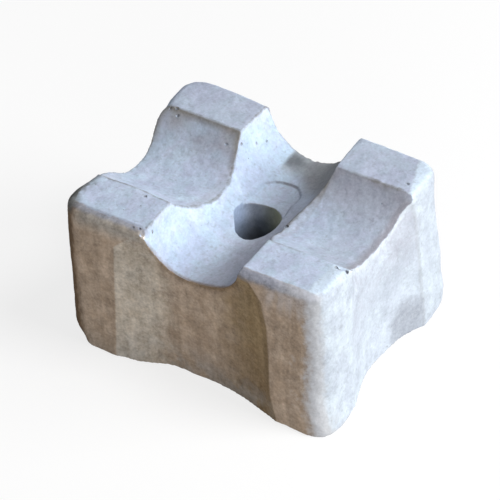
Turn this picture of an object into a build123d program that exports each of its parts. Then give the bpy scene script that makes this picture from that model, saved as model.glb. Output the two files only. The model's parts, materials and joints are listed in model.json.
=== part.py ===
"""Solid concrete block that carries reinforcement bars: one casting with two crossing bar saddles.

Millimetres. X runs along the block, Y across it and Z up; the origin is the middle of the flat base.
"""

import math
import os

from build123d import *

os.makedirs("parts", exist_ok=True)

# Overall size; length and width are taken at the top, before its edges are rounded
block_length = 84.0
block_width = 68.0
block_height = 48.5
draft_angle = 1.5
corner_radius = 8.0
top_edge_radius = 2.5

# Deep saddle, along Y: the concrete left under the bar, and the radius of the round bottom
deep_saddle_cover = 35.0
deep_saddle_radius = 16.0

# Shallow saddle, along X
shallow_saddle_cover = 40.0
shallow_saddle_radius = 23.5

# Upright hole through the middle, and the sunk pad that runs from it along the deep saddle
hole_diameter = 14.0
pad_width = 13.0
pad_reach = 12.5
pad_sink = 0.5

# Scoops in the four sides: they get wider and deeper towards the base, and above the shoulder
# those of the long sides close in on the deep saddle
scoop_shoulder_height = 40.0
scoop_depth_at_base = 5.0
scoop_depth_at_shoulder = 2.4
long_side_scoop_depth_at_top = 0.8
short_side_scoop_depth_at_top = 1.8
long_side_scoop_width_at_base = 52.0
long_side_scoop_width_at_shoulder = 48.6
long_side_scoop_width_at_top = 33.0
short_side_scoop_width_at_base = 39.0
short_side_scoop_width_at_shoulder = 34.8
short_side_scoop_width_at_top = 34.0

# How far every cutting body runs past the face that it cuts
cut_overrun = 5.0

# The sides lean out towards the base, so that the casting leaves its mould
side_lean = block_height * math.tan(math.radians(draft_angle))
base_length = block_length + 2 * side_lean
base_width = block_width + 2 * side_lean


def scoop_pair(half_at_base, half_at_top, widths, depth_at_top):
    """Cutting bodies for the sides that face -Y and +Y: a shallow arc in plan, lofted over three levels."""
    levels = (0, scoop_shoulder_height, block_height)
    depths = (scoop_depth_at_base, scoop_depth_at_shoulder, depth_at_top)
    with BuildPart() as scoops:
        for level, width, depth in zip(levels, widths, depths):
            half = half_at_base + (half_at_top - half_at_base) * level / block_height
            with BuildSketch(Plane.XY.offset(level)):
                with BuildLine():
                    ThreePointArc((-width / 2, -half), (0, depth - half), (width / 2, -half))
                    Polyline(
                        (width / 2, -half),
                        (width / 2, -half - cut_overrun),
                        (-width / 2, -half - cut_overrun),
                        (-width / 2, -half),
                    )
                make_face()
        loft(ruled=True)
        mirror(about=Plane.XZ)
    return scoops.part


long_side_scoops = scoop_pair(
    base_width / 2,
    block_width / 2,
    (long_side_scoop_width_at_base, long_side_scoop_width_at_shoulder, long_side_scoop_width_at_top),
    long_side_scoop_depth_at_top,
)
short_side_scoops = scoop_pair(
    base_length / 2,
    block_length / 2,
    (short_side_scoop_width_at_base, short_side_scoop_width_at_shoulder, short_side_scoop_width_at_top),
    short_side_scoop_depth_at_top,
)

with BuildPart() as pad_recess:
    # Round-bottomed like the deep saddle, and sunk a little below it
    with BuildSketch(Plane.XZ):
        with Locations((0, deep_saddle_cover + deep_saddle_radius)):
            Circle(deep_saddle_radius + pad_sink)
    extrude(amount=pad_reach + pad_width, both=True)
    with BuildSketch(Plane.XY):
        with Locations((0, pad_reach / 2)):
            SlotCenterToCenter(pad_reach, pad_width, rotation=90)
    extrude(amount=block_height + cut_overrun, mode=Mode.INTERSECT)

with BuildPart() as concrete_block:
    # Body: a drafted slab with round upright corners and softly rounded top edges
    with BuildSketch(Plane.XY):
        RectangleRounded(base_length, base_width, corner_radius)
    extrude(amount=block_height, taper=draft_angle)
    fillet(faces().sort_by(Axis.Z)[-1].edges(), top_edge_radius)

    # Scoops run out into the rounded top edges
    add(long_side_scoops, mode=Mode.SUBTRACT)
    add(short_side_scoops, rotation=(0, 0, 90), mode=Mode.SUBTRACT)

    # Saddles: round-bottomed, and straight-walled above the bar's axis
    for saddle_plane, cover, radius, run in (
        (Plane.XZ, deep_saddle_cover, deep_saddle_radius, base_width),
        (Plane.YZ, shallow_saddle_cover, shallow_saddle_radius, base_length),
    ):
        bar_axis = cover + radius
        saddle_top = max(block_height, bar_axis) + cut_overrun
        with BuildSketch(saddle_plane):
            with Locations((0, bar_axis)):
                Circle(radius)
                Rectangle(2 * radius, saddle_top - bar_axis, align=(Align.CENTER, Align.MIN))
        extrude(amount=run / 2 + cut_overrun, both=True, mode=Mode.SUBTRACT)

    # Upright hole, and the sunk pad beside it
    with Locations((0, 0, block_height)):
        Hole(hole_diameter / 2)
    add(pad_recess, mode=Mode.SUBTRACT)

concrete_block.part.label = "concrete_block"
export_step(concrete_block.part, "parts/concrete_block.step")
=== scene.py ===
"""Dresses the cast concrete block: a worn copy of the casting in stained grey concrete, on a pale floor.

Metres, in the block's own frame: X along the block, Y across it, Z up, origin in the middle of the base.
"""

import json
import math
import random

import bpy
from mathutils import Matrix, Vector
from mathutils.kdtree import KDTree

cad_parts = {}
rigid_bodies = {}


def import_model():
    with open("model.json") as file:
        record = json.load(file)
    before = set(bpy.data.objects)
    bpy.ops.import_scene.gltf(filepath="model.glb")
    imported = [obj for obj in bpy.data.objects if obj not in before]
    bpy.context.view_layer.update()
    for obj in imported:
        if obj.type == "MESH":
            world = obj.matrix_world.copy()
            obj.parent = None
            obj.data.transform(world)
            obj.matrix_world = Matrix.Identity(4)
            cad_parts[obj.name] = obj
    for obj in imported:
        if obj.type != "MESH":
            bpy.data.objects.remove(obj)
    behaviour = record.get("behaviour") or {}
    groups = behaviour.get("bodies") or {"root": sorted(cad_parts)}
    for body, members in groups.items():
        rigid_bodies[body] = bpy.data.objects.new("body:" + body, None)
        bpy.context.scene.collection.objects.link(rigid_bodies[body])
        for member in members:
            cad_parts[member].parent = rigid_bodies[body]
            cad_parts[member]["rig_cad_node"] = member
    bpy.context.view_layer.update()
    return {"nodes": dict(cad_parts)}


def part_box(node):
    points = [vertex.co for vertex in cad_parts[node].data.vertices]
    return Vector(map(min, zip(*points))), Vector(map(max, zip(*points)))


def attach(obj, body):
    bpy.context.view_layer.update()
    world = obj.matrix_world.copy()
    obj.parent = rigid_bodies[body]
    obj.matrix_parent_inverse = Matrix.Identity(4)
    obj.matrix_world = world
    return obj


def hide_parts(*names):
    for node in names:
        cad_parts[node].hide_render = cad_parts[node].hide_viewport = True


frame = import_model()

MM = 0.001
block_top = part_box("concrete_block")[1].z


# Handling

def pick(*objects):
    """Selects these objects and nothing else; the first becomes the one that is worked on."""
    bpy.ops.object.select_all(action="DESELECT")
    for obj in objects:
        obj.select_set(True)
    bpy.context.view_layer.objects.active = objects[0]


def finish_with(obj, kind, **settings):
    """Adds a modifier to the object and applies it."""
    pick(obj)
    modifier = obj.modifiers.new(kind.lower(), kind)
    for name, value in settings.items():
        setattr(modifier, name, value)
    bpy.ops.object.modifier_apply(modifier=modifier.name)


def join_all(objects):
    """Makes one object of these."""
    pick(*objects)
    bpy.ops.object.join()
    return bpy.context.view_layer.objects.active


# Broken edges and air holes

def crumb(seed):
    """A rough lump of about 1 mm radius, the shape of what breaks out of an edge."""
    bpy.ops.object.select_all(action="DESELECT")
    bpy.ops.mesh.primitive_ico_sphere_add(subdivisions=2, radius=MM)
    bpy.ops.object.mode_set(mode="EDIT")
    bpy.ops.mesh.select_all(action="SELECT")
    bpy.ops.transform.vertex_random(offset=0.28 * MM, uniform=0.6, seed=seed)
    bpy.ops.object.mode_set(mode="OBJECT")
    return bpy.context.view_layer.objects.active


def copy_at(shape, place, size, draw):
    """A copy of a lump with its own mesh, turned at random, scaled along X, Y, Z and set at a place."""
    lump = shape.copy()
    lump.data = shape.data.copy()
    bpy.context.scene.collection.objects.link(lump)
    spin = Matrix.Rotation(draw.uniform(0, math.tau), 4, "Z")
    tip = Matrix.Rotation(draw.uniform(0, math.tau), 4, "X")
    lump.data.transform(Matrix.Translation(place) @ Matrix.Diagonal((*size, 1)) @ spin @ tip)
    return lump


def sharp_edges(obj, sharpness):
    """Both ends of each edge of the object whose faces turn by more than the sharpness."""
    pick(obj)
    bpy.ops.object.mode_set(mode="EDIT")
    bpy.ops.mesh.select_mode(type="EDGE")
    bpy.ops.mesh.select_all(action="DESELECT")
    bpy.ops.mesh.edges_select_sharp(sharpness=sharpness)
    bpy.ops.object.mode_set(mode="OBJECT")
    corners = obj.data.vertices
    edges = [edge for edge in obj.data.edges if edge.select]
    return [[corners[index].co.copy() for index in edge.vertices] for edge in edges]


def face_places(obj, count, draw):
    """Places at random over the object's faces, evenly by area, apart from the base and the front."""
    faces = [face for face in obj.data.polygons if face.normal.z > -0.9 and face.center.y > front_limit]
    corners = obj.data.vertices
    places = []
    for face in draw.choices(faces, [face.area for face in faces], k=count):
        shares = [draw.random() for _ in face.vertices]
        spots = [corners[index].co * share for index, share in zip(face.vertices, shares)]
        places.append(sum(spots, Vector()) / sum(shares))
    return places


def cut_away(obj, lumps):
    """Takes the lumps out of the object."""
    cutter = join_all(lumps)
    finish_with(obj, "BOOLEAN", operation="DIFFERENCE", solver="MANIFOLD", object=cutter)
    bpy.data.objects.remove(cutter)


def triangles(obj):
    """How many triangles the object's faces make."""
    return sum(len(face.vertices) - 2 for face in obj.data.polygons)


# The worn casting

wear_seed = 11
crumb_shapes = 6
crumb_spacing = 5 * MM
least_crumb = 0.25
crumb_spread = 0.4
sharp_angle = math.radians(26)
smooth_angle = math.radians(50)
skin_grid = 0.34 * MM
most_triangles = 190000

# The saddles' edges lie above this height, and are marked at these steps
saddle_edge_low = 20 * MM
saddle_edge_step = 0.3 * MM

# How far distances are marked, in mm from an edge and in radii from an air hole
mark_span = 8

# Breaks at their own places, among them the worn right rim: place and reach along X, Y, Z, in mm
edge_breaks = [
    ((-15.9, -33.4, 48.3), (1.3, 1.1, 1.5)),
    ((-16.4, -30.9, 48.9), (0.8, 0.8, 0.8)),
    ((40.2, -18.2, 48.7), (2.6, 1.2, 1.2)),
    ((41.8, -14.6, 45.5), (0.9, 1.4, 0.8)),
    ((41.5, -12.9, 44.3), (1.2, 1.8, 1.1)),
    ((41.0, -9.8, 42.5), (0.7, 1.0, 0.6)),
    ((40.7, -8.1, 41.8), (1.1, 1.7, 1.0)),
    ((40.5, -5.2, 41.0), (0.9, 1.4, 0.8)),
    ((40.3, -2.9, 40.6), (0.6, 0.9, 0.5)),
    ((40.3, -1.4, 40.4), (1.1, 1.7, 1.0)),
    ((40.3, 1.9, 40.5), (0.7, 1.0, 0.6)),
    ((40.3, 3.6, 40.7), (0.8, 1.2, 0.7)),
    ((40.6, 6.8, 41.4), (0.9, 1.4, 0.8)),
    ((40.8, 8.4, 42.0), (0.6, 0.9, 0.5)),
    ((41.2, 11.6, 43.5), (0.8, 1.2, 0.7)),
    ((41.6, 13.4, 44.6), (0.7, 1.0, 0.6)),
    ((42.0, 15.2, 46.0), (0.8, 1.2, 0.7)),
    ((11.9, -2.7, 40.4), (0.9, 1.1, 0.7)),
    ((16.3, -33.4, 48.6), (1.0, 1.0, 1.0)),
    ((-41.8, -17.6, 48.8), (1.4, 1.2, 0.8)),
    ((-42.0, 17.8, 48.4), (1.3, 1.2, 1.0)),
]

# The one break that is still bright: place and reach, in mm
fresh_break = ((-15.8, -33.5, 47.2), 1.0)

# Air holes that stand out: place and radius, in mm
air_holes = [
    ((-15.3, -29.3, 46.3), 0.55),
    ((-23.3, -20.0, 48.5), 0.60),
    ((-18.8, 14.6, 45.1), 0.50),
    ((-14.9, 16.8, 45.1), 0.55),
    ((-13.4, 22.3, 42.3), 0.50),
    ((-12.4, 26.0, 40.9), 0.50),
    ((-39.6, 17.6, 47.9), 0.60),
    ((-37.3, 18.0, 48.4), 0.70),
    ((-36.2, 16.7, 47.0), 0.55),
    ((37.1, 21.6, 48.5), 0.65),
    ((11.8, -2.6, 39.9), 0.70),
    ((-17.6, -31.9, 48.3), 0.50),
    ((-19.3, -32.2, 48.2), 0.40),
    ((38.3, -19.2, 48.2), 0.60),
    ((39.4, -19.3, 48.0), 0.55),
    ((41.1, -18.6, 47.3), 0.65),
]

# Fine air holes lie at random behind this limit, because earth fills those of the front
fine_air_holes = 26
front_limit = -30 * MM
least_air_hole = 0.12
air_hole_spread = 0.2

# Where the casting is off square, off centre or worn back: place, push and reach of each, in mm
pushes = [
    ((-43.0, -34.0, 40.0), (-1.3, -0.2, 0.0), 34.0),
    ((-43.0, -30.0, 10.0), (-0.4, 0.0, 0.0), 22.0),
    ((-43.0, 34.0, 46.0), (-1.0, 0.2, 0.0), 30.0),
    ((-42.0, -18.0, 48.5), (1.2, 0.2, 0.2), 8.0),
    ((-42.3, -11.0, 43.5), (-0.3, 0.0, 1.6), 8.0),
    ((-41.5, 13.5, 42.0), (-0.7, 0.0, 0.0), 9.0),
    ((-42.0, 17.8, 48.0), (0.75, 0.15, -0.15), 4.5),
    ((-41.5, -33.5, 0.0), (1.1, 1.0, 0.6), 6.0),
    ((-38.5, -34.5, 0.0), (0.3, 0.6, 0.9), 4.5),
    ((-14.5, -33.0, 45.0), (0.9, 0.0, 0.0), 12.0),
    ((-29.0, -18.0, 48.5), (0.0, 0.8, 0.0), 14.0),
    ((3.0, -32.0, 35.5), (0.0, 0.0, 0.9), 12.0),
    ((-18.5, -33.0, 0.0), (0.0, -1.1, 0.0), 8.0),
    ((-9.0, -31.0, 0.0), (0.0, 0.6, 0.0), 7.0),
    ((0.0, -35.0, 0.0), (0.0, -0.5, 0.0), 45.0),
    ((24.3, -33.5, 39.0), (-1.2, 0.0, 0.0), 8.0),
    ((30.0, -36.0, 0.0), (0.0, -0.8, 0.0), 24.0),
    ((26.0, -35.0, 0.0), (1.7, 0.0, 0.0), 10.0),
    ((41.5, -33.5, 0.0), (1.9, -1.2, 0.0), 12.0),
    ((40.5, -12.0, 0.0), (0.95, 0.0, 0.0), 16.0),
    ((39.0, 3.0, 0.0), (0.8, 0.0, 0.0), 12.0),
    ((43.0, -25.0, 0.0), (0.8, 0.0, 0.0), 7.0),
    ((41.7, 15.5, 45.0), (-1.0, 0.0, 0.0), 5.0),
    ((40.8, 11.5, 42.6), (-1.5, 0.0, 0.0), 7.0),
    ((40.0, 4.0, 40.4), (-1.2, 0.0, 0.0), 7.0),
    ((40.0, -4.0, 40.4), (-1.1, 0.0, 0.0), 7.0),
    ((40.8, -11.5, 42.6), (-1.3, 0.0, 0.0), 7.0),
    ((43.0, 35.0, 40.0), (-0.9, -0.6, 0.0), 26.0),
    ((43.0, 22.0, 48.5), (-0.2, 0.0, -0.8), 8.0),
    ((42.0, 31.7, 4.0), (0.6, 0.4, 0.0), 9.0),
    ((43.0, 30.0, 0.0), (-0.5, -0.2, 0.9), 8.0),
    ((15.8, 32.0, 46.0), (-1.1, 0.0, 0.0), 24.0),
    ((-15.9, 34.0, 48.5), (0.0, -0.6, -0.4), 12.0),
    ((-5.2, 5.2, 35.3), (-0.6, 0.6, 0.0), 6.0),
    ((-5.8, -4.2, 36.0), (1.3, 0.0, 0.0), 5.5),
    ((6.5, 10.0, 36.5), (-0.9, 0.1, -0.35), 6.0),
    ((5.2, 16.2, 35.3), (-0.45, -0.3, -0.1), 5.0),
    ((1.2, 6.3, 34.6), (-0.6, 0.9, 0.0), 7.0),
    ((6.3, -2.0, 36.2), (0.4, -0.65, 0.2), 4.5),
    ((13.5, -10.8, 42.6), (-1.5, 0.0, 0.0), 7.0),
    ((1.5, -7.0, 35.0), (0.3, -0.9, 0.0), 7.0),
]


def push_out_of_square(obj):
    """Moves the skin round each place by its push, fading out over the reach."""
    for place, push, reach in pushes:
        for corner in obj.data.vertices:
            near = 1 - (corner.co / MM - Vector(place)).length / reach
            if near > 0:
                corner.co += Vector(push) * MM * near * near * (3 - 2 * near)


def mark_place(obj):
    """Writes where each point of the skin sat in the mould, in mm."""
    numbers = [number / MM for corner in obj.data.vertices for number in corner.co]
    obj.data.attributes.new("mould_place", "FLOAT_VECTOR", "POINT").data.foreach_set("vector", numbers)


def breaks_here(place):
    """Edges crumble above the base, and not round the hole or its sunk pad."""
    x, y, z = place / MM
    return z > 3 and not (abs(x) < 9 and -9 < y < 21)


def mark_distance(obj, name, places, sizes, span):
    """Writes each skin point's distance from the nearest place, in that place's size, up to the span."""
    tree = KDTree(len(places))
    for index, place in enumerate(places):
        tree.insert(place, index)
    tree.balance()
    distances = []
    for corner in obj.data.vertices:
        _, index, distance = tree.find(corner.co)
        distances.append(min(span, distance / MM / sizes[index]))
    obj.data.attributes.new(name, "FLOAT", "POINT").data.foreach_set("value", distances)


def line_places(lines, spacing):
    """Places at even steps along lines."""
    places = []
    for one_end, other_end in lines:
        steps = max(1, round((other_end - one_end).length / spacing))
        places += [one_end.lerp(other_end, step / steps) for step in range(steps + 1)]
    return places


def roughen(obj, name, patch, height):
    """Raises and sinks the object's skin by parts of a height, in patches of about that width."""
    clouds = bpy.data.textures.new(name, "CLOUDS")
    clouds.noise_scale = patch
    clouds.noise_depth = 2
    finish_with(obj, "DISPLACE", texture=clouds, texture_coords="LOCAL", strength=height, mid_level=0.8)


def worn_casting():
    """A copy of the casting with crumbled edges, an uneven skin and air holes, a little off square."""
    draw = random.Random(wear_seed)
    pick(frame["nodes"]["concrete_block"])
    bpy.ops.object.duplicate()
    block = bpy.context.view_layer.objects.active
    block.name = block.data.name = "worn_block"
    del block["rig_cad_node"]
    bpy.ops.object.parent_clear(type="CLEAR_KEEP_TRANSFORM")
    bpy.ops.object.mode_set(mode="EDIT")
    bpy.ops.mesh.select_all(action="SELECT")
    bpy.ops.mesh.remove_doubles(threshold=0.001 * MM)
    bpy.ops.object.mode_set(mode="OBJECT")
    sharp = sharp_edges(block, sharp_angle)
    saddle_lines = [ends for ends in sharp if min(end.z for end in ends) > saddle_edge_low]
    saddle_edges = line_places(saddle_lines, saddle_edge_step)

    shapes = [crumb(seed) for seed in range(crumb_shapes)]
    lumps = []
    for place, size in edge_breaks:
        lumps.append(copy_at(draw.choice(shapes), Vector(place) * MM, size, draw))
    for one_end, other_end in sharp:
        place = one_end.lerp(other_end, draw.random())
        reach = least_crumb + crumb_spread * draw.random() ** 3
        if draw.random() < (other_end - one_end).length / crumb_spacing and breaks_here(place):
            lumps.append(copy_at(draw.choice(shapes), place, (reach, reach, reach), draw))
    cut_away(block, lumps)

    finish_with(block, "REMESH", mode="VOXEL", voxel_size=skin_grid)
    finish_with(block, "SMOOTH", factor=0.5, iterations=3)
    roughen(block, "mould_swell", 9 * MM, 0.4 * MM)
    roughen(block, "sand_skin", 1.5 * MM, 0.2 * MM)

    places = [Vector(place) * MM for place, _ in air_holes]
    places += face_places(block, fine_air_holes, draw)
    sizes = [radius for _, radius in air_holes]
    sizes += [least_air_hole + air_hole_spread * draw.random() ** 3 for _ in range(fine_air_holes)]
    pits = zip(places, sizes)
    cut_away(block, [copy_at(draw.choice(shapes), place, [size] * 3, draw) for place, size in pits])

    finish_with(block, "DECIMATE", ratio=min(1, most_triangles / triangles(block)))
    mark_distance(block, "saddle_edge", saddle_edges, [1] * len(saddle_edges), mark_span)
    mark_distance(block, "air_hole", places, sizes, mark_span)
    mark_place(block)
    push_out_of_square(block)
    for shape in shapes:
        bpy.data.objects.remove(shape)
    pick(block)
    bpy.ops.object.shade_smooth_by_angle(angle=smooth_angle)
    print("worn block triangles:", triangles(block))
    return block


# Materials

class Socket:
    """One output socket of a material's nodes; arithmetic on it adds Math nodes."""

    def __init__(self, tree, output=None):
        self.tree, self.output = tree, output

    def node(self, kind, settings, sockets, output=0):
        """Adds a node of a type: its settings first, then the values or links of its sockets."""
        node = self.tree.nodes.new(kind)
        for name, value in settings.items():
            setattr(node, name, value)
        for name, value in sockets.items():
            if isinstance(value, Socket):
                self.tree.links.new(value.output, node.inputs[name])
            else:
                node.inputs[name].default_value = value
        return Socket(self.tree, node.outputs[output]) if node.outputs else None

    def math(self, operation, *values):
        """The result of a Math node."""
        return self.node("ShaderNodeMath", {"operation": operation}, dict(enumerate(values)))

    def __add__(self, other):
        return self.math("ADD", self, other)

    def __radd__(self, other):
        return self.math("ADD", other, self)

    def __sub__(self, other):
        return self.math("SUBTRACT", self, other)

    def __rsub__(self, other):
        return self.math("SUBTRACT", other, self)

    def __mul__(self, other):
        return self.math("MULTIPLY", self, other)

    def __rmul__(self, other):
        return self.math("MULTIPLY", other, self)

    def between(self, low, high):
        """0 below low, 1 above high, and a smooth rise between them."""
        return self.node(
            "ShaderNodeMapRange", {"interpolation_type": "SMOOTHSTEP"},
            {"Value": self, "From Min": low, "From Max": high},
        )

    def noise(self, place, grain, detail, seed, roughness=0.55):
        """Soft noise from 0 to 1 whose patches are about grain mm across."""
        return self.node(
            "ShaderNodeTexNoise", {"noise_dimensions": "4D"},
            {"Vector": place, "W": seed, "Scale": 1 / grain, "Detail": detail, "Roughness": roughness},
        )

    def mix(self, share, colour, other):
        """The colour with a share of the other laid over it."""
        return self.node("ShaderNodeMix", {"data_type": "RGBA"}, {0: share, 6: colour, 7: other}, 2)

    def tint(self, colour, value):
        """The colour made lighter or darker by a value around 1."""
        return self.node(
            "ShaderNodeMix", {"data_type": "RGBA", "blend_type": "MULTIPLY"}, {0: 1.0, 6: colour, 7: value}, 2
        )


def shade(red, green, blue):
    """A solid colour."""
    return (red, green, blue, 1.0)


def new_material(name):
    """An empty material and the start of its nodes."""
    material = bpy.data.materials.new(name)
    material.use_nodes = True
    material.node_tree.nodes.clear()
    return material, Socket(material.node_tree)


class Skin:
    """What the concrete's colour follows: place in mm, facing, nearness to edges and holes, and noise."""

    def __init__(self, start):
        self.start = start
        self.place = start.node("ShaderNodeAttribute", {"attribute_name": "mould_place"}, {}, "Vector")
        facing = start.node("ShaderNodeTexCoord", {}, {}, "Normal")
        level = start.node("ShaderNodeVectorMath", {"operation": "MULTIPLY"}, {0: facing, 1: (1, 1, 0)})
        level = start.node("ShaderNodeVectorMath", {"operation": "NORMALIZE"}, {0: level})
        self.x, self.y, self.z = self.parts(self.place)
        self.nx, self.ny, self.nz = self.parts(facing)
        self.level_x, self.level_y, _ = self.parts(level)
        self.from_middle_x = self.x.math("ABSOLUTE", self.x)
        self.from_middle_y = self.y.math("ABSOLUTE", self.y)
        self.edge = start.node("ShaderNodeAttribute", {"attribute_name": "saddle_edge"}, {}, "Fac")
        self.air_hole = start.node("ShaderNodeAttribute", {"attribute_name": "air_hole"}, {}, "Fac")

        upright = {0: self.place, 1: (1, 1, 0.07)}
        upright = start.node("ShaderNodeVectorMath", {"operation": "MULTIPLY"}, upright)
        self.clouds = start.noise(self.place, 15, 4, 1.0)
        self.blotch = start.noise(self.place, 6, 5, 2.0, 0.6)
        self.mottle = start.noise(self.place, 2.0, 4, 3.0, 0.65)
        self.grain = start.noise(self.place, 0.7, 3, 4.0, 0.6)
        self.streak = start.noise(upright, 2.6, 3, 5.0)
        self.hue = start.noise(self.place, 4, 2, 6.0)
        self.speck = start.noise(self.place, 1.2, 1, 7.0)

        self.side = 1 - self.nz.between(0.75, 0.95)
        self.in_hole = 1 - (self.x * self.x + self.y * self.y).between(54, 64)
        self.facing_front = (0 - self.ny).between(0.1, 0.7)

    def parts(self, vector):
        """The X, Y and Z of a vector."""
        return [self.start.node("ShaderNodeSeparateXYZ", {}, {0: vector}, axis) for axis in range(3)]

    def near(self, place, inner, outer):
        """1 within the inner distance of a place, 0 beyond the outer one, in mm."""
        ends = {0: self.place, 1: place}
        far = self.start.node("ShaderNodeVectorMath", {"operation": "DISTANCE"}, ends, "Value")
        return 1 - (far + outer * (self.blotch - 0.5)).between(inner, outer)


def cement(start, skin):
    """Cool cement in clouds, greyer at the back and in parts of the saddles, with painted shade on saddle
    walls turned from the light, a cooler tint painted on the lit wall, and a painted shadow at the far end of
    the deep saddle.
    """
    colour = start.mix(skin.clouds.between(0.35, 0.65), shade(0.44, 0.51, 0.635), shade(0.495, 0.58, 0.70))
    hue = start.mix(skin.hue.between(0.35, 0.65), shade(1.02, 0.985, 1.015), shade(0.985, 1.02, 1.01))
    colour = start.tint(colour, hue)
    back_top = skin.y.between(0, 25) * skin.nz.between(0.9, 0.97) * skin.z.between(46, 47.5)
    colour = start.mix(0.4 * back_top, colour, shade(0.33, 0.345, 0.42))
    # Painted shade: walls that face the front, away from the light, turn grey in patches
    far_wall = skin.facing_front * (1 - skin.side * skin.z.between(48, 48.4))
    worn = (skin.blotch + 0.004 * skin.x).between(0.05, 0.6)
    far_wall = (0.95 - 0.2 * skin.x.between(10, 30)) * far_wall
    colour = start.mix(far_wall * worn, colour, shade(0.29, 0.29, 0.335))
    in_deep_saddle = (1 - skin.from_middle_x.between(15, 16)) * skin.z.between(33, 34.5)
    in_deep_saddle = in_deep_saddle * (1 - skin.ny.between(0.4, 0.8))
    # Painted shade on the deep saddle's wall turned from the light, and a cooler tint painted on the wall
    # facing the light
    shaded_wall = in_deep_saddle * (0 - skin.nx).between(-0.3, 0.4) * (1 - 0.35 * skin.y.between(-10, 15))
    colour = start.mix(0.65 * shaded_wall, colour, shade(0.385, 0.375, 0.42))
    lit_wall = in_deep_saddle * skin.nx.between(0.1, 0.5)
    colour = start.mix(lit_wall, colour, start.tint(colour, shade(0.94, 0.975, 1.0)))
    right_floor = skin.x.between(14, 32) * (1 - skin.from_middle_y.between(16, 18))
    colour = start.mix(0.42 * right_floor, colour, shade(0.33, 0.35, 0.415))

    # Painted shadow of the right back post over the far end of the deep saddle, darkest where it starts
    reach = skin.y + 0.9 * start.math("MAXIMUM", skin.x, 0) + 5 * (skin.blotch - 0.5)
    cast_shadow = in_deep_saddle * reach.between(20, 27) * (skin.x + 2 * (skin.mottle - 0.5)).between(-7, -5.5)
    colour = start.mix(0.62 * cast_shadow, colour, shade(0.2, 0.187, 0.155))
    return start.mix(0.7 * cast_shadow * skin.near((-5, 27.5, 36), 1, 5), colour, shade(0.1, 0.11, 0.125))


def lime(start, skin):
    """The right side's whiter skin: dull in its scoop, with painted shade down each crease and a painted
    highlight along the saddle's worn edge.
    """
    past = 19.5 - 0.0525 * skin.z - skin.from_middle_y
    scoop = past.between(-0.4, 0.4)
    crease = 1 - start.math("ABSOLUTE", past).between(0.3, 1.1)
    colour = start.mix(skin.blotch.between(0.38, 0.6), shade(0.43, 0.475, 0.54), shade(0.465, 0.52, 0.575))
    colour = start.mix(0.55 * scoop * skin.clouds.between(0.35, 0.6), colour, shade(0.465, 0.51, 0.58))
    upper = scoop * skin.z.between(14, 38) * skin.mottle.between(0.42, 0.62)
    colour = start.mix(0.8 * upper, colour, shade(0.355, 0.375, 0.43))
    colour = start.mix(0.4 * skin.near((41, 12, 38), 4, 12), colour, shade(0.36, 0.37, 0.42))
    colour = start.mix(0.2 * skin.y.between(19, 21), colour, shade(0.38, 0.42, 0.48))
    # Painted shade down each crease of the scoop
    colour = start.mix(0.45 * crease * skin.y.between(-25, 15), colour, shade(0.34, 0.36, 0.39))
    colour = start.mix(0.8 * skin.near((41.5, 14, 5), 3, 11), colour, shade(0.31, 0.335, 0.38))
    # Painted highlight along the saddle's worn edge, where its bevel catches the light
    rim_highlight = 1 - (skin.edge + 3 * (skin.mottle - 0.5)).between(1.0, 2.4)
    return start.mix(0.7 * rim_highlight, colour, shade(0.52, 0.57, 0.615))


def earth(start, skin):
    """Brown earth on the front, with painted warm shade: painted light on the scoop's left flank and painted
    shade on its right, a painted highlight down the left crease and painted shade down the right one, thin on
    the right post.
    """
    crease = 26 - 0.0425 * skin.z - 0.875 * start.math("MAXIMUM", skin.z - 40, 0)
    past = crease - skin.from_middle_x
    scoop = past.between(-0.4, 0.4)
    # Painted light on the scoop's flank facing the light, painted shade on the flank turned from it
    pale = scoop * (0 - skin.x + 14 * (skin.blotch - 0.5)).between(5, 16) * (1 - 0.6 * skin.z.between(40, 45))
    dark = scoop * (skin.x + 16 * (skin.blotch - 0.5)).between(3, 20)
    # Painted highlight down the left crease, painted shade down the right one
    crease_highlight = (1 - start.math("ABSOLUTE", past - 0.4).between(0.2, 0.8)) * (0 - skin.x).between(5, 10)
    crease_shade = (1 - start.math("ABSOLUTE", past - 0.7).between(0.3, 1.3)) * skin.x.between(5, 10)
    post_foot = (1 - scoop) * (1 - skin.z.between(1, 11)) * (1 - skin.x.between(0, 5))
    scoop_foot = scoop * (1 - skin.z.between(2, 14)) * skin.blotch.between(0.35, 0.55)
    thin = skin.x.between(22, 27) * skin.z.between(36, 44)
    # The front's brown is earth with painted warm shade of a side turned from the light
    colour = start.mix(pale, shade(0.42, 0.325, 0.248), shade(0.50, 0.44, 0.37))
    colour = start.mix(dark, colour, shade(0.27, 0.194, 0.11))
    colour = start.mix(0.4 * dark * (1 - skin.z.between(8, 32)), colour, shade(0.19, 0.128, 0.08))
    low_middle = scoop * (1 - skin.z.between(10, 26)) * skin.x.between(-10, 2)
    low_middle = low_middle * skin.blotch.between(0.45, 0.6)
    colour = start.mix(0.35 * low_middle, colour, shade(0.22, 0.165, 0.13))
    colour = start.mix(0.45 * crease_shade, colour, shade(0.19, 0.135, 0.08))
    colour = start.mix(0.4 * crease_highlight, colour, shade(0.56, 0.49, 0.41))
    colour = start.mix(0.6 * post_foot, colour, shade(0.30, 0.25, 0.205))
    colour = start.mix(0.45 * scoop_foot, colour, shade(0.285, 0.28, 0.275))
    left_top = skin.z.between(41, 47) * (1 - skin.x.between(-20, -12))
    colour = start.mix(0.75 * left_top * skin.x.between(-40, -34), colour, shade(0.35, 0.34, 0.32))
    colour = start.mix(0.7 * thin * skin.streak.between(0.35, 0.6), colour, shade(0.44, 0.40, 0.39))
    hue = start.mix(skin.hue.between(0.35, 0.65), shade(0.9, 0.88, 0.85), shade(1.08, 1.09, 1.1))
    return start.tint(colour, hue)


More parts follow.
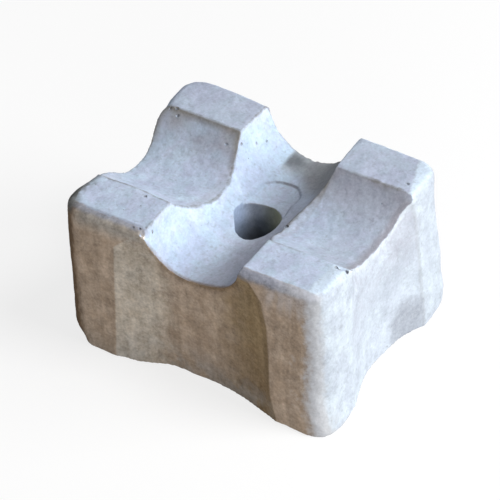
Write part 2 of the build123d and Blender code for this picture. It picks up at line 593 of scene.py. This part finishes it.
def soiled_and_shaded_front(start, skin, colour):
    """The colour with earth and painted warm shade over the front and round its left corner, and how much of
    them lies there.
    """
    past_brow = 0 - skin.y - 30.4 - 0.9 * skin.x.between(-5, 5) + 1.2 * (skin.mottle - 0.5)
    on_posts = skin.from_middle_x.between(15.2, 16) * skin.z.between(45, 46.5)
    front_side = skin.side * (0 - skin.y).between(26, 29)
    outside = start.math("MAXIMUM", front_side, past_brow.between(-0.2, 0.7) * on_posts)
    turned_front = 0 - skin.level_y + 0.45 * start.math("MAXIMUM", 0 - skin.level_x, 0)
    turned_front = turned_front + 0.4 * (skin.blotch - 0.5) * skin.from_middle_x.between(28, 34)
    turned_right = skin.level_x + 0.5 * (skin.blotch - 0.5) + 0.5 * (skin.mottle - 0.5)
    right_corner = skin.x.between(29, 33) * turned_right.between(0.0, 0.5)
    front = outside * turned_front.between(0.6, 0.8) * (1 - right_corner)
    along_left = skin.y + 30 * (skin.blotch - 0.5)
    left = skin.side * (0 - skin.x).between(35, 38) * (1 - along_left.between(-32, 0))
    # Earth and painted warm shade lie over the sides turned from the light: the front, and less of the left
    shaded_earth = start.math("MAXIMUM", front, 0.6 * left)
    corner_foot = skin.near((36, -33, 2), 3, 12) * skin.mottle.between(0.4, 0.6)
    colour = start.mix(0.6 * corner_foot, colour, shade(0.34, 0.33, 0.315))
    fringe = (turned_front + 0.3 - 0.3 * skin.z.between(0, 9)).between(0.4, 0.75) * skin.x.between(24, 30)
    colour = start.mix(0.8 * outside * fringe, colour, shade(0.445, 0.45, 0.465))
    colour = start.mix(shaded_earth, colour, earth(start, skin))

    # Painted shade: a grey brow where the top edge turns from the light, darkest beside the deep saddle, and
    # darkness on the left corner and along its top edge, which face away from the light
    brow = past_brow.between(-0.3, 0.6) * skin.nz.between(0.1, 0.5) * on_posts * skin.x.between(-5, 5)
    brow_colour = start.mix(skin.x.between(22, 34), shade(0.33, 0.325, 0.365), shade(0.46, 0.47, 0.51))
    colour = start.mix(0.85 * brow, colour, brow_colour)
    brow_line = (1 - start.math("ABSOLUTE", past_brow - 1.4).between(0.5, 1.7)) * on_posts
    brow_line = brow_line * skin.blotch.between(0.15, 0.45) * (1 - 0.7 * skin.x.between(24, 34))
    colour = start.mix(0.75 * brow_line, colour, shade(0.25, 0.27, 0.33))
    colour = start.mix(0.7 * brow * skin.near((-18, -33, 47.8), 2, 9), colour, shade(0.17, 0.16, 0.145))
    left_corner = skin.side * (0 - skin.x).between(33, 36) * (0 - skin.level_x).between(0.1, 0.5)
    left_corner = left_corner * (1 - skin.y.between(-29, -25))
    colour = start.mix(0.9 * left_corner, colour, shade(0.118, 0.072, 0.038))
    left_rim = (0 - skin.x).between(37, 39) * (0 - skin.nx).between(-0.08, 0.12) * skin.z.between(46.3, 47.3)
    left_rim = start.math("MAXIMUM", left_rim, skin.near((-40.6, -30.6, 47.6), 1.5, 5))
    colour = start.mix(0.9 * left_rim * (1 - skin.y.between(-26, -14)), colour, shade(0.17, 0.175, 0.17))
    blackest = left_rim * skin.near((-41.3, -27.5, 48), 1, 5)
    return start.mix(0.75 * blackest, colour, shade(0.07, 0.072, 0.065)), shaded_earth


def darkened_and_shaded_edges(start, skin, colour):
    """The colour with darker lines along the saddles' edges, painted shade below those edges, in the air
    holes and in the hole, and painted shadows at the deep saddle's front opening and round the sunk pad.
    """
    over_pad = (1 - skin.from_middle_x.between(8, 9)) * skin.y.between(-10, -9) * (1 - skin.y.between(20, 21))
    near_half = 1 - skin.y.between(-16, -14)
    wavy_edge = skin.edge + 1.6 * (skin.mottle - 0.5)
    line = (1 - wavy_edge.between(0.2, 1.0)) * (1 - over_pad) * (1 - skin.x.between(22, 32) * near_half)
    back_left = skin.y.between(15, 17) * (1 - skin.x.between(-17, -15))
    unbroken = start.math("MAXIMUM", near_half * skin.x.between(-39, -33), back_left)
    line = line * start.math("MAXIMUM", skin.blotch.between(0.35, 0.55), 0.8 * unbroken)
    line = line * (1 - 0.6 * skin.y.between(15, 17) * skin.x.between(10, 14) * (1 - skin.x.between(25, 29)))
    # Painted shade below the saddles' edges, on walls that face the front
    under_edge_shade = 1 - (skin.edge + 2 * (skin.blotch - 0.5)).between(0.3, 2.6)
    right_part = skin.x.between(24, 30) * (1 - skin.x.between(32, 36))
    under_edge_shade = under_edge_shade * (1 - 0.7 * skin.x.between(5, 10) * (1 - 0.5 * right_part))
    inside_rims = (1 - skin.x.between(38, 40)) * (1 - (0 - skin.y).between(30, 32))
    colour = start.mix(0.7 * under_edge_shade * skin.facing_front * inside_rims, colour, shade(0.21, 0.19, 0.165))
    line = (0.7 - 0.3 * near_half * skin.x.between(14, 17)) * line
    colour = start.mix(line * inside_rims, colour, shade(0.18, 0.172, 0.155))
    for corner in ((-36, 17, 47.3), (-17.5, 17, 47.3)):
        wall_corner = skin.near(corner, 1, 6) * skin.facing_front
        colour = start.mix(0.35 * wall_corner, colour, shade(0.25, 0.225, 0.18))
    shallow_end = skin.x.between(32, 37) * (1 - skin.edge.between(0.8, 5)) * (1 - skin.z.between(46, 47.5))
    colour = start.mix(0.75 * shallow_end * (1 - skin.nx.between(0.3, 0.5)), colour, shade(0.29, 0.28, 0.31))
    # Painted shadow below the deep saddle's edge on the front face, strongest on the right
    arch_shadow = (1 - wavy_edge.between(0.5, 1.8)) * (0 - skin.y).between(29.5, 31)
    arch_shadow = arch_shadow * (1 - skin.from_middle_x.between(14, 16)) * (0.65 + 0.35 * skin.x.between(-4, 8))
    colour = start.mix(0.75 * arch_shadow, colour, shade(0.215, 0.145, 0.085))
    # Painted shadow along the sunk pad's step
    pad_shadow_line = over_pad * skin.y.between(0, 6) * (0.5 + 0.5 * skin.x.between(-6, -2))
    colour = start.mix(0.45 * pad_shadow_line * (1 - skin.edge.between(0.15, 0.6)), colour, shade(0.22, 0.25, 0.32))
    # Painted shade in the air holes
    colour = start.mix(0.7 * (1 - skin.air_hole.between(0.6, 1.3)), colour, shade(0.13, 0.125, 0.115))
    # Painted light and shade on the hole's walls, black deep down
    hole_wall = skin.in_hole * (1 - skin.nz.between(0.3, 0.7))
    hole_colour = start.mix(skin.y.between(2, 6), shade(0.33, 0.415, 0.585), shade(0.27, 0.305, 0.375))
    hole_colour = start.mix(skin.x.between(-4, 4), hole_colour, shade(0.5, 0.49, 0.32))
    colour = start.mix(0.9 * hole_wall, colour, hole_colour)
    return start.mix(0.9 * hole_wall * (1 - skin.z.between(18, 33)), colour, shade(0.05, 0.05, 0.048))


def stained_and_shaded_concrete():
    """Cement with a limed right side, earth and painted warm shade on the front, darker lines and painted
    shade along the edges, painted highlights on the right edges, and one fresh break.
    """
    material, start = new_material("stained_and_shaded_concrete")
    skin = Skin(start)

    # Lime reaches over the right rim of the tops
    rim_of_top = 37.4 + 1.8 * skin.y.between(0, 20) - 0.32 * start.math("MAXIMUM", skin.y - 19, 0)
    rim_of_top = rim_of_top - 0.06 * start.math("MAXIMUM", -18 - skin.y, 0)
    rim_of_top = rim_of_top - 2 * (skin.mottle - 0.5)
    over_top = (skin.x - rim_of_top).between(-0.5, 0.7) * skin.z.between(46.3, 47.3) * (1 - skin.facing_front)
    over_top = over_top * (1 - skin.near((39.5, -18, 48), 1, 4))
    right = start.math("MAXIMUM", over_top, skin.x.between(33, 37) * skin.nx.between(0.4, 0.85))
    colour = start.mix(right, cement(start, skin), lime(start, skin))
    # Painted highlight on the up-facing part of the tops' right edge
    colour = start.mix(0.8 * over_top * skin.nz.between(0.5, 0.9), colour, shade(0.59, 0.70, 0.83))

    colour = start.mix(0.2 * skin.speck.between(0.6, 0.68), colour, shade(0.22, 0.22, 0.24))
    colour, shaded_earth = soiled_and_shaded_front(start, skin, colour)
    colour = darkened_and_shaded_edges(start, skin, colour)
    fresh_place, fresh_reach = fresh_break
    fresh = skin.near(fresh_place, 0.5 * fresh_reach, fresh_reach)
    colour = start.mix(fresh, colour, shade(0.78, 0.71, 0.65))

    tone = 0.45 * (skin.blotch - 0.5) + 0.5 * (skin.mottle - 0.5) + 0.5 * (skin.grain - 0.5)
    tone = (tone + (0.15 + 0.3 * shaded_earth) * skin.side * (skin.streak - 0.5)) * (1 + 0.85 * shaded_earth)
    colour = start.tint(colour, 1 + tone)

    relief = 0.05 * skin.grain + 0.12 * skin.mottle
    bumped = start.node("ShaderNodeBump", {}, {"Distance": MM, "Height": relief})
    roughness = 0.85 + 0.12 * skin.mottle
    surface = start.node(
        "ShaderNodeBsdfPrincipled", {},
        {"Base Color": colour, "Roughness": roughness, "Normal": bumped, "Specular IOR Level": 0.15},
    )
    start.node("ShaderNodeOutputMaterial", {}, {"Surface": surface})
    return material


# Floor, light and camera

floor_width = 4
floor_whiteness = 0.78
panel_distance = 1.2


def background_rays(start):
    """1 for the rays that show the white background: from the camera, in gloss and through glass."""
    camera = start.node("ShaderNodeLightPath", {}, {}, "Is Camera Ray")
    gloss = start.node("ShaderNodeLightPath", {}, {}, "Is Glossy Ray")
    glass = start.node("ShaderNodeLightPath", {}, {}, "Is Transmission Ray")
    return start.math("MAXIMUM", camera, start.math("MAXIMUM", gloss, glass))


def pale_floor():
    """A plain floor that shows white with a soft shadow, and throws back less light than it shows."""
    bpy.ops.object.select_all(action="DESELECT")
    bpy.ops.mesh.primitive_plane_add(size=floor_width)
    floor = bpy.context.view_layer.objects.active
    floor.name = "floor"
    material, start = new_material("pale_floor")
    seen = background_rays(start)
    sheet = start.node("ShaderNodeBsdfDiffuse", {}, {"Color": shade(0.42, 0.42, 0.42)})
    lit = start.node("ShaderNodeBsdfDiffuse", {}, {"Color": shade(0.9, 0.9, 0.9)})
    white = start.node("ShaderNodeEmission", {}, {"Color": shade(1, 1, 1), "Strength": 1.0})
    shown = start.node("ShaderNodeMixShader", {}, {0: floor_whiteness, 1: lit, 2: white})
    surface = start.node("ShaderNodeMixShader", {}, {0: seen, 1: sheet, 2: shown})
    start.node("ShaderNodeOutputMaterial", {}, {"Surface": surface})
    floor.data.materials.append(material)


def soft_panel(name, towards, size, power):
    """A round lamp panel at the panels' distance from the block, in that direction and turned to it."""
    towards = Vector(towards).normalized()
    lamp = bpy.data.lights.new(name, "AREA")
    lamp.shape, lamp.size, lamp.energy = "DISK", size, power
    panel = bpy.data.objects.new(name, lamp)
    bpy.context.scene.collection.objects.link(panel)
    panel.location = towards * panel_distance
    panel.rotation_euler = towards.to_track_quat("Z", "Y").to_euler()


def soft_light():
    """A dim white room and three lamp panels on the right."""
    world = bpy.data.worlds.new("studio")
    bpy.context.scene.world = world
    world.use_nodes = True
    world.node_tree.nodes.clear()
    start = Socket(world.node_tree)
    seen = background_rays(start)
    room = start.node("ShaderNodeBackground", {}, {"Color": shade(1, 1, 1), "Strength": 0.2})
    white = start.node("ShaderNodeBackground", {}, {"Color": shade(1, 1, 1), "Strength": 1.0})
    surface = start.node("ShaderNodeMixShader", {}, {0: seen, 1: room, 2: white})
    start.node("ShaderNodeOutputWorld", {}, {"Surface": surface})

    soft_panel("key_panel", (0.868, 0.27, 0.417), 0.9, 16.5)
    soft_panel("upper_panel", (0.5, 0.15, 0.85), 0.5, 6.5)
    soft_panel("front_panel", (0.55, -0.8, 0.15), 0.6, 6.0)


def photo_camera():
    """The photograph's view: long lens, from the right front and above, tipped a little."""
    azimuth, elevation, roll = math.radians(33.922), math.radians(40.054), math.radians(2.631)
    right = Vector((math.cos(azimuth), math.sin(azimuth), 0))
    ahead = Vector((-math.sin(azimuth), math.cos(azimuth), 0))
    forward = ahead * math.cos(elevation) - Vector((0, 0, math.sin(elevation)))
    down = forward.cross(right)
    right, down = (
        right * math.cos(roll) + down * math.sin(roll),
        down * math.cos(roll) - right * math.sin(roll),
    )
    aside, above, distance = 1.2205, 18.4049, 1037.64
    middle_of_top = Vector((0, 0, block_top))
    place = middle_of_top - (aside * right - above * down + distance * forward) * MM
    lens = bpy.data.cameras.new("camera")
    lens.sensor_width = 36
    lens.lens = 268.79
    camera = bpy.data.objects.new("camera", lens)
    bpy.context.scene.collection.objects.link(camera)
    turn = Matrix((right, -down, -forward)).transposed().to_4x4()
    camera.matrix_world = Matrix.Translation(place) @ turn
    bpy.context.scene.camera = camera


block = worn_casting()
block.data.materials.clear()
block.data.materials.append(stained_and_shaded_concrete())
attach(block, "root")
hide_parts("concrete_block")

pale_floor()
soft_light()
photo_camera()
bpy.context.scene.view_settings.view_transform = "Standard"
